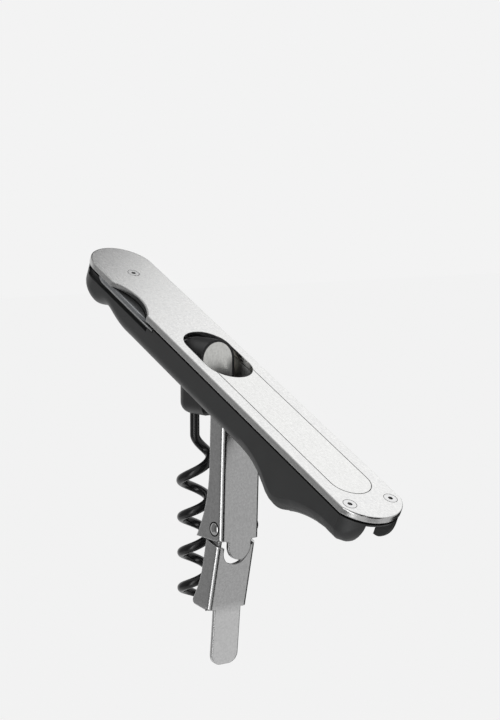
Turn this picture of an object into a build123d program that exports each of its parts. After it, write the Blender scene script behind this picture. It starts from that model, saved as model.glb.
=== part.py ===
"""Lever corkscrew with a push-out worm, shown as it stands at the end of a pull.

The worm hangs along Z with its tip at z = 0. The handle is tilted down towards +X, the two step
lever stands on the bottle rim at +X, and the whole part is symmetric about the XZ plane, apart
from the foil blade and the thumb scoop on the -Y side. Millimetres.
"""
import os
from math import cos, pi, radians, sin, sqrt

from build123d import *

# Tilts of the main pieces in the pose shown
handle_tilt = 25.9
upper_tilt = 2.2
lower_tilt = 13.2
tongue_tilt = 6.0

# Length by which cuts run past the faces they leave
overrun = 2.0

# Hub and worm heights
worm_length = 52.8
hub_pivot_height = 12.8
hub_top = 7.0
hub_axis_offset = 5.33
hub_half_width = 5.3
hub_back = 2.5
hub_front = 10.4
hub_cam_radius = 8.4
hub_cam_side_radius = 6.3
hub_corner_radius = 3.0
hub_front_corner = 2.0
hub_pin_depth = 5.07
bush_diameter = 4.6
face_length = 15.9
face_width = 9.2
face_thickness = 0.8
face_setback = 0.05
face_bottom = 3.2

# Worm wire
wire_diameter = 2.5
helix_radius = 3.5
helix_pitch = 9.5
helix_phase = 53.1
shank_drop = 6.0
shank_grip = 14.2
entry_rise = 6.0
entry_radius = 4.0
entry_pitch = 15.0
lead_drop = 10.0
tip_rise = 5.2
tip_radius = 0.15
tip_power = 1.4
tip_parts = 6
entry_parts = 6
parts_per_turn = 4
roll_pin_diameter = 1.0
roll_pin_length = 8.6
roll_pin_rise = 12.2

# Handle plan and plate
handle_left = 54.9
handle_right = 77.2
handle_width = 18.4
nose_radius = 9.9
nose_corner_radius = 1.8
plate_thickness = 1.6
plate_edge_round = 0.3
scoop_place = 27.1
scoop_radius = 15.7
scoop_depth = 3.1
opening_left = 8.3
opening_length = 23.0
opening_width = 13.0
inlay_thickness = 1.0
inlay_width = 11.0
inlay_right = 67.2
seam = 0.1

# Body: underside points are (place along the handle, depth under the plate's top)
body_inset = 0.2
body_edge_round = 3.6
body_deepest = 16.3
grip_underside = [
    (-57.5, 5.0),
    (-55.1, 7.3),
    (-52.6, 8.9),
    (-49.3, 9.8),
    (-46.7, 10.6),
    (-43.2, 10.9),
    (-40.3, 9.8),
    (-37.4, 8.9),
    (-34.9, 9.4),
    (-31.2, 10.3),
    (-27.8, 10.7),
    (-24.6, 10.7),
]
belly_underside = [
    (29.4, 10.7),
    (35.4, 11.4),
    (39.4, 12.8),
    (42.4, 14.6),
    (46.4, 16.1),
    (49.8, 15.8),
    (53.9, 13.7),
    (58.1, 11.85),
    (62.6, 10.55),
    (67.2, 9.95),
    (70.4, 9.9),
    (72.4, 9.4),
    (74.0, 7.9),
    (75.2, 5.8),
    (76.2, 3.9),
    (78.6, 1.7),
]
channel_half = 6.7
channel_left = 12.1
channel_right = 65.9
rivet_relief_half = 7.2
rivet_relief_left = 43.0
rivet_relief_right = 53.0
rivet_relief_depth = 3.4
end_block_depth = 5.6
lobe_left = 70.5
end_slot_half = 4.5
end_slot_depth = 2.8

# End screws and their inserts
screw_place = 70.4
screw_half_spacing = 6.2
screw_head_diameter = 3.4
screw_head_depth = 1.0
screw_diameter = 2.0
screw_length = 4.6
socket_width = 1.3
socket_depth = 0.7
end_insert_diameter = 3.2
end_insert_length = 3.2

# Side plates, pins and washers
liner_thickness = 1.0
liner_left = 11.6
liner_right = 24.6
liner_top = 2.0
liner_bottom = 8.3
liner_corner = 2.5
liner_clearance = 0.04
pin_diameter = 3.0
pin_inset = 0.05
running_clearance = 0.05
lever_pin_place = 15.3
lever_pin_depth = 6.2
hub_washer_diameter = 7.0
lever_washer_diameter = 5.2

# Lever sheet, upper arm
sheet = 1.0
lever_half_width = 6.25
bend_radius = 1.4
inner_bend_radius = 0.4
upper_half_depth = 2.65
upper_web_top = 1.7
upper_length = 36.0
upper_back_drop = 0.1
upper_flare_start = 17.2
upper_flare_radius = 37.8
step_from_end = 3.0
step_tongue_half = 3.5
step_tongue_reach = 5.15
shoulder_radius = 0.9
neck_radius = 0.8

# Lower arm
lower_front = 2.3
lower_back = 2.7
lower_top_front = 4.3
lower_top_back = 3.9
lower_web_top = 4.8
lower_length = 22.0
lower_back_drop = 0.6
lower_flare_start = 11.0
lower_flare_radius = 26.0
u_cut_half = 3.9
u_cut_bottom = 9.7
ear_clearance = 0.05
ear_radius = 1.9
ear_front = 1.5
ear_length = 8.5
ear_pad_top = 4.6
foot_radius = 0.9
heel_radius = 1.0
rim_bend_radius = 2.0
rim_lap = 1.5
rim_tongue_half = 4.1
rim_tongue_length = 15.2
rim_tongue_corner = 2.8

# Step rivets
rivet_diameter = 2.0
rivet_head_diameter = 3.4
rivet_head_height = 0.75
rivet_head_shoulder = 0.58
rivet_tail_diameter = 2.4
rivet_tail_height = 0.4

# Foil blade, measured from its pivot
blade_place = 40.3
blade_gap = 0.1
blade_thickness = 1.0
blade_spine = 8.9
blade_spine_end = 18.0
blade_tip = (25.5, -3.6)
blade_edge_points = [(22.0, -0.6), (15.0, 0.6), (8.0, 2.5)]
blade_root_radius = 5.5
blade_tail = 6.29
blade_tip_lean = 0.1
pocket_clearance = 0.3
pocket_far = 6.6
pocket_edge_side = 3.3
pocket_right = 26.5
blade_washer_diameter = 8.0
blade_washer_thickness = 0.4
blade_screw_head = 3.2
blade_screw_head_depth = 0.7
blade_screw_diameter = 2.0
blade_screw_length = 6.8
blade_insert_diameter = 4.0
blade_insert_length = 4.0
nail_groove_left = 48.6
nail_groove_right = 16.6
nail_groove_reach = 1.2
nail_groove_height = 1.2

# Detent spring
spring_thickness = 0.3
spring_width = 6.0
spring_gap = 0.55
spring_half_span = 2.9


def tilted_side(origin, tilt):
    """Plane along XZ: local x points outwards from an arm, local y points up along it."""
    slope = radians(tilt)
    return Plane(origin=origin, x_dir=(cos(slope), 0, -sin(slope)), z_dir=(0, -1, 0))


def tilted_face(origin, tilt):
    """Plane across an arm: local x is +Y, local y points up along it, normal outwards."""
    slope = radians(tilt)
    return Plane(origin=origin, x_dir=(0, 1, 0), z_dir=(cos(slope), 0, -sin(slope)))


# Frames of the handle, the two arms and the tongue
handle_slope = radians(handle_tilt)
along = Vector(cos(handle_slope), 0, -sin(handle_slope))
upward = Vector(sin(handle_slope), 0, cos(handle_slope))
hub_pin_point = Vector(hub_axis_offset, 0, worm_length + hub_pivot_height)
handle_origin = hub_pin_point + upward * hub_pin_depth
handle_side = tilted_side(handle_origin, handle_tilt)
handle_top = Plane(origin=handle_origin, x_dir=along, z_dir=upward)
handle_axis = Axis(handle_origin, upward)

upper_slope = radians(upper_tilt)
step_length = upper_length - step_from_end
upper_back_length = upper_length + upper_back_drop
step_tongue_length = upper_length + step_tongue_reach
lever_pin_point = handle_origin + along * lever_pin_place - upward * lever_pin_depth
upper_side = tilted_side(lever_pin_point, upper_tilt)
upper_face = tilted_face(lever_pin_point, upper_tilt)
upper_down = Vector(-sin(upper_slope), 0, -cos(upper_slope))

lower_slope = radians(lower_tilt)
step_point = lever_pin_point + upper_down * step_length
lower_side = tilted_side(step_point, lower_tilt)
lower_face = tilted_face(step_point, lower_tilt)
lower_down = Vector(-sin(lower_slope), 0, -cos(lower_slope))
lower_out = Vector(cos(lower_slope), 0, -sin(lower_slope))
rim_bend_point = step_point + lower_down * lower_length + lower_out * lower_front

# Sizes that follow from the ones above
plate_half = handle_width / 2
body_half = plate_half - body_inset
flange_inner = lever_half_width - sheet
ear_outer = flange_inner - ear_clearance
ear_inner = ear_outer - sheet
pin_radius = pin_diameter / 2
blade_top = plate_thickness + blade_gap
blade_bottom = blade_top + blade_thickness
pocket_floor = blade_bottom + running_clearance + blade_washer_thickness
pocket_radius = blade_spine + pocket_clearance
shank_bottom = worm_length - shank_drop
entry_bottom = shank_bottom - entry_rise
shank_top = worm_length + shank_grip
roll_pin_height = worm_length + roll_pin_rise
lower_back_length = lower_length + lower_back_drop
hub_front_reach = hub_front - hub_axis_offset
hub_back_reach = hub_back + hub_axis_offset
opening_centre = opening_length / 2 - opening_left
blade_plane = Plane(
    origin=handle_top.from_local_coords(Vector(-blade_place, 0, -blade_bottom)), x_dir=along, z_dir=upward
)


def handle_outline(inset):
    """Plan of the handle: a half round high end and a blunter nose at the low end."""
    half = plate_half - inset
    left = handle_left - inset
    right = handle_right - inset
    nose = nose_radius - inset
    corner_x = right - nose + sqrt(nose**2 - half**2)
    with BuildSketch() as outline:
        with BuildLine():
            Line((-left + half, half), (corner_x, half))
            ThreePointArc((corner_x, half), (right, 0), (corner_x, -half))
            Line((corner_x, -half), (-left + half, -half))
            ThreePointArc((-left + half, -half), (-left, 0), (-left + half, half))
        make_face()
    return outline.sketch


def underside(points):
    """Points of the underside as drawn on the handle's side plane."""
    return [(place, -depth) for place, depth in points]


def washer_pair(inner_y, outer_y, centre, outer_diameter):
    """Two rings on one pin, one either side of the centre plane."""
    with BuildPart() as pair:
        for start, amount in ((inner_y, outer_y - inner_y), (-outer_y, outer_y - inner_y)):
            with BuildSketch(Plane(origin=centre + Vector(0, start, 0), z_dir=(0, 1, 0))):
                Circle(outer_diameter / 2)
                Circle(pin_radius, mode=Mode.SUBTRACT)
            extrude(amount=amount)
    return pair.part


def countersunk_blank(place, across, head, head_depth, diameter, length):
    """Solid of one countersunk screw without its socket, head flush with the plate's top."""
    top = Plane(origin=handle_top.from_local_coords(Vector(place, across, 0)), x_dir=along, z_dir=upward)
    with BuildPart() as blank:
        with BuildSketch(Plane(origin=top.origin, x_dir=along, z_dir=(0, -1, 0))):
            with BuildLine():
                Polyline(
                    (0, 0),
                    (head / 2, 0),
                    (diameter / 2, -head_depth),
                    (diameter / 2, -length),
                    (0, -length),
                    close=True,
                )
            make_face()
        revolve(axis=Axis(top.origin, upward))
    return blank.part


def socket_cut(place, across):
    """Hexagonal socket of one screw of the plate."""
    with BuildPart() as socket:
        with BuildSketch(handle_top):
            with Locations((place, across)):
                RegularPolygon(socket_width / 2, 6)
        extrude(amount=-socket_depth)
    return socket.part


# Top plate: thumb scoop, stadium opening, inlay pocket, countersunk holes
with BuildPart() as top_plate:
    with BuildSketch(handle_top.offset(-plate_thickness)):
        add(handle_outline(0))
        with Locations((-scoop_place, scoop_depth - plate_half - scoop_radius)):
            Circle(scoop_radius, mode=Mode.SUBTRACT)
    extrude(amount=plate_thickness)
    upright_edges = top_plate.edges().filter_by(handle_axis)
    fillet(upright_edges.sort_by(Axis(handle_origin, along))[-2:], nose_corner_radius)
    fillet(top_plate.faces().sort_by(handle_axis)[-1].edges(), plate_edge_round)
    with BuildSketch(handle_top):
        with Locations((opening_centre, 0)):
            SlotOverall(opening_length, opening_width)
    extrude(amount=-plate_thickness, mode=Mode.SUBTRACT)
    with BuildSketch(handle_top):
        with Locations(((inlay_right + seam) / 2 - inlay_width / 4, 0)):
            Rectangle(inlay_right + seam - inlay_width / 2, inlay_width + 2 * seam)
        with Locations((inlay_right - inlay_width / 2, 0)):
            Circle(inlay_width / 2 + seam)
    extrude(amount=-inlay_thickness, mode=Mode.SUBTRACT)
    for across in (-screw_half_spacing, screw_half_spacing):
        add(
            countersunk_blank(
                screw_place, across, screw_head_diameter, screw_head_depth, screw_diameter, screw_length
            ),
            mode=Mode.SUBTRACT,
        )
    add(
        countersunk_blank(
            -blade_place, 0, blade_screw_head, blade_screw_head_depth, blade_screw_diameter,
            blade_screw_length,
        ),
        mode=Mode.SUBTRACT,
    )
top_plate.part.label = "top_plate"

# Inlay strip in the plate's pocket, its left end following the opening
with BuildPart() as plate_inlay:
    with BuildSketch(handle_top):
        with Locations(((inlay_right - inlay_width / 2) / 2, 0)):
            Rectangle(inlay_right - inlay_width / 2, inlay_width)
        with Locations((inlay_right - inlay_width / 2, 0)):
            Circle(inlay_width / 2)
        with Locations((opening_centre, 0)):
            SlotOverall(opening_length, opening_width, mode=Mode.SUBTRACT)
    extrude(amount=-inlay_thickness)
plate_inlay.part.label = "plate_inlay"

# Screws of the plate
with BuildPart() as end_screws:
    for across in (-screw_half_spacing, screw_half_spacing):
        add(
            countersunk_blank(
                screw_place, across, screw_head_diameter, screw_head_depth, screw_diameter, screw_length
            )
        )
        add(socket_cut(screw_place, across), mode=Mode.SUBTRACT)
end_screws.part.label = "end_screws"

with BuildPart() as blade_screw:
    add(
        countersunk_blank(
            -blade_place, 0, blade_screw_head, blade_screw_head_depth, blade_screw_diameter,
            blade_screw_length,
        )
    )
    add(socket_cut(-blade_place, 0), mode=Mode.SUBTRACT)
blade_screw.part.label = "blade_screw"

# Threaded inserts the screws bite into
with BuildPart() as end_inserts:
    with BuildSketch(handle_top.offset(-plate_thickness)):
        with Locations((screw_place, screw_half_spacing), (screw_place, -screw_half_spacing)):
            Circle(end_insert_diameter / 2)
            Circle(screw_diameter / 2, mode=Mode.SUBTRACT)
    extrude(amount=-end_insert_length)
end_inserts.part.label = "end_inserts"

with BuildPart() as blade_insert:
    with BuildSketch(handle_top.offset(-pocket_floor)):
        with Locations((-blade_place, 0)):
            Circle(blade_insert_diameter / 2)
            Circle(blade_screw_diameter / 2, mode=Mode.SUBTRACT)
    extrude(amount=-blade_insert_length)
blade_insert.part.label = "blade_insert"

with BuildPart() as blade_washer:
    with BuildSketch(handle_top.offset(-pocket_floor)):
        with Locations((-blade_place, 0)):
            Circle(blade_washer_diameter / 2)
            Circle(blade_screw_diameter / 2, mode=Mode.SUBTRACT)
    extrude(amount=blade_washer_thickness)
blade_washer.part.label = "blade_washer"

# Foil blade: ridged back on the near side, curved edge towards the middle, ground bevel below
with BuildPart() as foil_blade:
    with BuildSketch(blade_plane):
        with BuildLine():
            Line((0, -blade_spine), (blade_spine_end, -blade_spine))
            Spline((blade_spine_end, -blade_spine), blade_tip, tangents=[(1, 0), (blade_tip_lean, 1)])
            Spline([blade_tip, *blade_edge_points])
            Line(blade_edge_points[-1], (0, blade_root_radius))
            ThreePointArc((0, blade_root_radius), (-blade_root_radius, 0), (-blade_tail, -blade_tail))
            ThreePointArc(
                (-blade_tail, -blade_tail),
                (-blade_spine * sin(pi / 8), -blade_spine * cos(pi / 8)),
                (0, -blade_spine),
            )
        make_face()
        Circle(blade_screw_diameter / 2 + running_clearance, mode=Mode.SUBTRACT)
    extrude(amount=blade_thickness)
foil_blade.part.label = "foil_blade"

# Moulded body: plan of the plate cut to the side view, then hollowed from below and above
with BuildPart() as handle_body:
    with BuildSketch(handle_top.offset(-plate_thickness)):
        add(handle_outline(body_inset))
    extrude(amount=-body_deepest)
    with BuildSketch(handle_side):
        with BuildLine():
            Spline(underside(grip_underside))
            Line(underside(grip_underside)[-1], underside(belly_underside)[0])
            Spline(underside(belly_underside), tangents=[(1, 0), (1, 1)])
            Polyline(
                underside(belly_underside)[-1],
                (belly_underside[-1][0], -plate_thickness),
                (grip_underside[0][0], -plate_thickness),
                underside(grip_underside)[0],
            )
        make_face()
    extrude(amount=handle_width, both=True, mode=Mode.INTERSECT)
    body_top_edges = handle_body.faces().sort_by(handle_axis)[-1].edges()
    low_edges = handle_body.edges().filter_by(
        lambda edge: not any(edge.is_same(top_edge) for top_edge in body_top_edges)
        and abs(edge.tangent_at(0).dot(upward)) < 0.99
        and abs(edge.tangent_at(0).Y) < 0.99
    )
    fillet(low_edges, body_edge_round)
    with BuildSketch(handle_top.offset(-plate_thickness)):
        with Locations(((channel_right - channel_left) / 2, 0)):
            Rectangle(channel_right + channel_left, 2 * channel_half)
    extrude(amount=-body_deepest, mode=Mode.SUBTRACT)
    with BuildSketch(handle_top.offset(-rivet_relief_depth)):
        with Locations(((rivet_relief_left + rivet_relief_right) / 2, 0)):
            Rectangle(rivet_relief_right - rivet_relief_left, 2 * rivet_relief_half)
    extrude(amount=-body_deepest, mode=Mode.SUBTRACT)
    with BuildSketch(handle_top.offset(-end_block_depth)):
        with Locations(((channel_right + lobe_left) / 2, 0)):
            Rectangle(lobe_left - channel_right, 2 * channel_half)
    extrude(amount=-body_deepest, mode=Mode.SUBTRACT)
    with BuildSketch(handle_top.offset(-end_slot_depth)):
        with Locations(((channel_right + handle_right) / 2, 0)):
            Rectangle(handle_right - channel_right + overrun, 2 * end_slot_half)
    extrude(amount=-body_deepest, mode=Mode.SUBTRACT)
    with BuildSketch(handle_top.offset(-pocket_floor)):
        with Locations((-blade_place, 0)):
            Circle(pocket_radius)
            with Locations((0, pocket_far + pocket_radius)):
                Rectangle(2 * pocket_radius, 2 * pocket_radius, mode=Mode.SUBTRACT)
            with Locations(((pocket_right - pocket_radius) / 2, (pocket_edge_side - plate_half) / 2)):
                Rectangle(pocket_right + pocket_radius, pocket_edge_side + plate_half)
    extrude(amount=pocket_floor, mode=Mode.SUBTRACT)
    with BuildSketch(handle_top.offset(-pocket_floor)):
        with Locations((-(nail_groove_left + nail_groove_right) / 2, -body_half)):
            Rectangle(nail_groove_left - nail_groove_right, 2 * nail_groove_reach)
    extrude(amount=-nail_groove_height, mode=Mode.SUBTRACT)
    with BuildSketch(handle_side):
        with Locations(((liner_right - liner_left) / 2, -(liner_top + liner_bottom) / 2)):
            RectangleRounded(
                liner_right + liner_left + 2 * liner_clearance,
                liner_bottom - liner_top + 2 * liner_clearance,
                liner_corner,
            )
    extrude(amount=channel_half + liner_thickness + liner_clearance, both=True, mode=Mode.SUBTRACT)
    with BuildSketch(handle_top.offset(-plate_thickness)):
        with Locations((screw_place, screw_half_spacing), (screw_place, -screw_half_spacing)):
            Circle(end_insert_diameter / 2)
    extrude(amount=-end_insert_length, mode=Mode.SUBTRACT)
    with BuildSketch(handle_top.offset(-pocket_floor)):
        with Locations((-blade_place, 0)):
            Circle(blade_insert_diameter / 2)
    extrude(amount=-blade_insert_length, mode=Mode.SUBTRACT)
handle_body.part.label = "handle_body"


def side_plate(inner_y):
    """Steel side plate that carries both pins, its inner face at the given y."""
    with BuildPart() as liner:
        with BuildSketch(handle_side.offset(-inner_y)):
            with Locations(((liner_right - liner_left) / 2, -(liner_top + liner_bottom) / 2)):
                RectangleRounded(liner_right + liner_left, liner_bottom - liner_top, liner_corner)
            with Locations((0, -hub_pin_depth), (lever_pin_place, -lever_pin_depth)):
                Circle(pin_radius, mode=Mode.SUBTRACT)
        extrude(amount=-liner_thickness if inner_y > 0 else liner_thickness)
    return liner.part


def cross_pin(centre, half_length, radius):
    """Plain pin along Y."""
    with BuildPart() as pin:
        with BuildSketch(Plane(origin=centre, z_dir=(0, 1, 0))):
            Circle(radius)
        extrude(amount=half_length, both=True)
    return pin.part


# Side plates let into the channel's walls, and the two pins they carry
liner_near = side_plate(-channel_half)
liner_near.label = "liner_near"
liner_far = side_plate(channel_half)
liner_far.label = "liner_far"
hub_pin = cross_pin(hub_pin_point, channel_half + liner_thickness - pin_inset, pin_radius)
hub_pin.label = "hub_pin"
lever_pin = cross_pin(lever_pin_point, channel_half + liner_thickness - pin_inset, pin_radius)
lever_pin.label = "lever_pin"

# Washers that keep the hub and the lever centred between the side plates
hub_washers = washer_pair(
    hub_half_width + running_clearance, channel_half, hub_pin_point, hub_washer_diameter
)
hub_washers.label = "hub_washers"
lever_washers = washer_pair(
    lever_half_width + running_clearance, channel_half, lever_pin_point, lever_washer_diameter
)
lever_washers.label = "lever_washers"

# Hub: front view and plan intersected, bottom edge rounded, then cut to the side view
hub_section = Plane(origin=(-hub_back, 0, worm_length), x_dir=(0, 1, 0), z_dir=(1, 0, 0))
hub_view = Plane(origin=hub_pin_point, x_dir=(1, 0, 0), z_dir=(0, -1, 0))
hub_across = Plane(origin=hub_pin_point, x_dir=(0, 1, 0), z_dir=(1, 0, 0))
hub_height = hub_pivot_height + hub_top
cam_back_y = sqrt(hub_cam_radius**2 - hub_back_reach**2)
with BuildPart() as cam_waste:
    with BuildSketch(hub_view):
        with Locations((-hub_cam_radius / 2, (cam_back_y + hub_cam_radius) / 2)):
            Rectangle(hub_cam_radius, hub_cam_radius - cam_back_y)
    extrude(amount=hub_half_width, both=True)
    with BuildSketch(hub_across):
        with BuildLine():
            ThreePointArc(
                (-hub_half_width, hub_cam_side_radius),
                (0, hub_cam_radius),
                (hub_half_width, hub_cam_side_radius),
            )
            Polyline(
                (hub_half_width, hub_cam_side_radius),
                (hub_half_width, 0),
                (-hub_half_width, 0),
                (-hub_half_width, hub_cam_side_radius),
            )
        make_face()
    revolve(axis=Axis(hub_pin_point, (0, 1, 0)), mode=Mode.SUBTRACT)
with BuildPart() as worm_hub:
    with BuildSketch(hub_section):
        with Locations((0, (hub_height - hub_half_width) / 2)):
            Rectangle(2 * hub_half_width, hub_height - hub_half_width)
        with Locations((0, hub_height - hub_half_width)):
            Circle(hub_half_width)
    extrude(amount=hub_back + hub_front)
    with BuildSketch(Plane(origin=(hub_half_width - hub_back, 0, worm_length))):
        Circle(hub_half_width)
        with Locations((hub_front / 2, 0)):
            Rectangle(hub_front, 2 * hub_half_width)
    extrude(amount=hub_height, mode=Mode.INTERSECT)
    bottom_edges = worm_hub.edges().group_by(Axis.Z)[0]
    fillet(bottom_edges.sort_by(Axis.X)[:-1], hub_corner_radius)
    with BuildSketch(hub_view):
        with Locations(((hub_front_reach - hub_back_reach) / 2, (hub_top - hub_pivot_height) / 2)):
            Rectangle(hub_back + hub_front, hub_height)
        front_corner = (hub_front_reach - hub_front_corner / 2, hub_front_corner / 2 - hub_pivot_height)
        with Locations(front_corner):
            Rectangle(hub_front_corner, hub_front_corner, mode=Mode.SUBTRACT)
        with Locations((hub_front_reach - hub_front_corner, hub_front_corner - hub_pivot_height)):
            Circle(hub_front_corner)
    extrude(amount=hub_half_width, both=True, mode=Mode.INTERSECT)
    add(cam_waste.part, mode=Mode.SUBTRACT)
    with BuildSketch(hub_section.offset(hub_back + hub_front)):
        with Locations((0, face_bottom + face_length / 2)):
            SlotOverall(face_length, face_width, rotation=90)
    extrude(amount=-face_thickness - face_setback, mode=Mode.SUBTRACT)
    with BuildSketch(hub_view):
        Circle(bush_diameter / 2)
    extrude(amount=hub_half_width, both=True, mode=Mode.SUBTRACT)
    with BuildSketch(Plane(origin=(0, 0, worm_length))):
        Circle(wire_diameter / 2)
    extrude(amount=shank_top - worm_length, mode=Mode.SUBTRACT)
    with BuildSketch(Plane(origin=(0, 0, roll_pin_height), z_dir=(0, 1, 0))):
        Circle(roll_pin_diameter / 2)
    extrude(amount=hub_half_width, both=True, mode=Mode.SUBTRACT)
worm_hub.part.label = "worm_hub"

with BuildPart() as hub_face:
    with BuildSketch(hub_section.offset(hub_back + hub_front - face_setback)):
        with Locations((0, face_bottom + face_length / 2)):
            SlotOverall(face_length, face_width, rotation=90)
    extrude(amount=-face_thickness)
hub_face.part.label = "hub_face"

with BuildPart() as hub_bush:
    with BuildSketch(hub_view):
        Circle(bush_diameter / 2)
        Circle(pin_radius + running_clearance, mode=Mode.SUBTRACT)
    extrude(amount=hub_half_width, both=True)
hub_bush.part.label = "hub_bush"

worm_roll_pin = cross_pin(Vector(0, 0, roll_pin_height), roll_pin_length / 2, roll_pin_diameter / 2)
worm_roll_pin.label = "worm_roll_pin"


def worm_point(height):
    """Centre of the wire: on the axis in the shank, out to the side, then a right hand helix."""
    if height >= entry_bottom:
        share = min(1, (height - entry_bottom) / entry_rise)
        radius = entry_radius * (1 - share) ** 2 * (1 + 2 * share)
        turns = entry_rise / entry_pitch * (share - share**2 + share**3 / 3)
    else:
        share = min(1, (entry_bottom - height) / lead_drop)
        radius = helix_radius + (entry_radius - helix_radius) * (1 - share) ** 2 * (1 + 2 * share)
        lead_turns = lead_drop * (share / entry_pitch + (1 / helix_pitch - 1 / entry_pitch) * share**2 / 2)
        turns = -lead_turns - max(0, entry_bottom - lead_drop - height) / helix_pitch
    angle = radians(helix_phase) + 2 * pi * turns
    return Vector(radius * cos(angle), radius * sin(angle), height)


def worm_heading(height):
    """Direction of the wire's centre line, pointing down towards the tip."""
    if height >= shank_bottom:
        return Vector(0, 0, -1)
    step = helix_pitch / 10000
    return (worm_point(height - step) - worm_point(height + step)).normalized()


def biarc(start, start_heading, end, end_heading):
    """Two arcs from one point to the next, tangent to both headings."""
    chord = end - start
    spread = chord.dot(start_heading + end_heading)
    bend = 2 * (1 - start_heading.dot(end_heading))
    reach = (sqrt(spread**2 + bend * chord.dot(chord)) - spread) / bend
    middle = (start + start_heading * reach + end - end_heading * reach) * 0.5
    first = Edge.make_tangent_arc(start, start_heading, middle)
    return [first, Edge.make_tangent_arc(middle, first.tangent_at(1), end)]


# Worm: straight shank, transition and turns swept on arcs, then a lofted point
entry_heights = [shank_bottom - entry_rise * part / entry_parts for part in range(entry_parts + 1)]
turn_parts = round((entry_bottom - tip_rise) / helix_pitch * parts_per_turn)
turn_drop = (entry_bottom - tip_rise) / turn_parts
turn_heights = [entry_bottom - turn_drop * part for part in range(1, turn_parts + 1)]
wire_heights = entry_heights + turn_heights
wire_edges = [Edge.make_line(Vector(0, 0, shank_top), Vector(0, 0, shank_bottom))]
for high, low in zip(wire_heights, wire_heights[1:]):
    wire_edges += biarc(worm_point(high), worm_heading(high), worm_point(low), worm_heading(low))
with BuildPart() as worm:
    with BuildLine():
        add(wire_edges)
    with BuildSketch(Plane(origin=(0, 0, shank_top), z_dir=(0, 0, -1))):
        Circle(wire_diameter / 2)
    sweep()
    for part in range(tip_parts + 1):
        height = tip_rise * (1 - part / tip_parts)
        taper = part / tip_parts
        with BuildSketch(Plane(origin=worm_point(height), z_dir=worm_heading(height))):
            Circle(wire_diameter / 2 + (tip_radius - wire_diameter / 2) * taper**tip_power)
    loft()
    with BuildSketch(Plane(origin=(0, 0, roll_pin_height), z_dir=(0, 1, 0))):
        Circle(roll_pin_diameter / 2)
    extrude(amount=wire_diameter, both=True, mode=Mode.SUBTRACT)
worm.part.label = "worm"


def flare(start, end, radius, straight):
    """Outward position of a flange's back edge where its flare arc ends."""
    return -straight - (radius - sqrt(radius**2 - (end - start) ** 2))


def bent_block(front, half_width, radius):
    """Section of a bent strip's outline: open at the back, both front corners rounded."""
    with BuildSketch() as block:
        with Locations((0, front - upper_length / 2)):
            Rectangle(2 * half_width, upper_length)
        fillet(block.vertices().group_by(Axis.Y)[-1], radius)
    return block.sketch


def channel_run(origin, tilt, front, length):
    """Folded channel of sheet running down from the given pivot."""
    slope = radians(tilt)
    section_plane = Plane(origin=origin, x_dir=(0, -1, 0), z_dir=(sin(slope), 0, cos(slope)))
    with BuildPart() as run:
        with BuildSketch(section_plane):
            add(bent_block(front, lever_half_width, bend_radius))
            add(bent_block(front - sheet, flange_inner, inner_bend_radius), mode=Mode.SUBTRACT)
        extrude(amount=-length)
        extrude(run.faces().sort_by(Axis(origin, section_plane.z_dir))[-1], amount=upper_half_depth)
    return run.part


def rounded_corner_cut(half_width, level, radius):
    """What a corner radius takes off both lower corners of a web, drawn on a face plane."""
    with BuildSketch() as cut:
        for side in (-1, 1):
            with Locations((side * (half_width - radius / 2), level + radius / 2)):
                Rectangle(radius, radius)
            with Locations((side * (half_width - radius), level + radius)):
                Circle(radius, mode=Mode.SUBTRACT)
    return cut.sketch


# Upper arm: folded channel with round ears, flared flanges and a tongue
upper_back_x = flare(upper_flare_start, upper_back_length, upper_flare_radius, upper_half_depth)
flare_middle = (upper_flare_start + upper_back_length) / 2
upper_middle_x = flare(upper_flare_start, flare_middle, upper_flare_radius, upper_half_depth)
with BuildPart() as upper_arm:
    with BuildSketch(upper_side):
        with BuildLine():
            Line((upper_half_depth, 0), (upper_half_depth, -upper_length))
            Line((upper_half_depth, -upper_length), (upper_back_x, -upper_back_length))
            ThreePointArc(
                (upper_back_x, -upper_back_length),
                (upper_middle_x, -flare_middle),
                (-upper_half_depth, -upper_flare_start),
            )
            Line((-upper_half_depth, -upper_flare_start), (-upper_half_depth, 0))
            ThreePointArc((-upper_half_depth, 0), (0, upper_half_depth), (upper_half_depth, 0))
        make_face()
    extrude(amount=lever_half_width, both=True)
    add(channel_run(lever_pin_point, upper_tilt, upper_half_depth, upper_back_length), mode=Mode.INTERSECT)
    with BuildSketch(upper_face.offset(upper_half_depth)):
        with Locations((0, upper_length / 2 - upper_web_top)):
            Rectangle(2 * flange_inner, upper_length)
    extrude(amount=-bend_radius, mode=Mode.SUBTRACT)
    with BuildSketch(upper_face.offset(upper_half_depth)):
        add(rounded_corner_cut(lever_half_width, -upper_length, shoulder_radius))
    extrude(amount=-bend_radius, mode=Mode.SUBTRACT)
    with BuildSketch(upper_face.offset(upper_half_depth)):
        tongue_centre = step_tongue_length - step_tongue_half
        with Locations((0, -tongue_centre)):
            Circle(step_tongue_half)
        with Locations((0, -(tongue_centre + upper_length - neck_radius) / 2)):
            Rectangle(2 * step_tongue_half, tongue_centre - upper_length + neck_radius)
        for side in (-1, 1):
            with Locations((side * (step_tongue_half + neck_radius / 2), -upper_length)):
                Rectangle(neck_radius, 2 * neck_radius)
            with Locations((side * (step_tongue_half + neck_radius), -upper_length - neck_radius)):
                Circle(neck_radius, mode=Mode.SUBTRACT)
    extrude(amount=-sheet)
    with BuildSketch(upper_side):
        Circle(pin_radius + running_clearance)
        with Locations((0, -step_length)):
            Circle(rivet_diameter / 2)
    extrude(amount=lever_half_width, both=True, mode=Mode.SUBTRACT)
upper_arm.part.label = "upper_arm"


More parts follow.
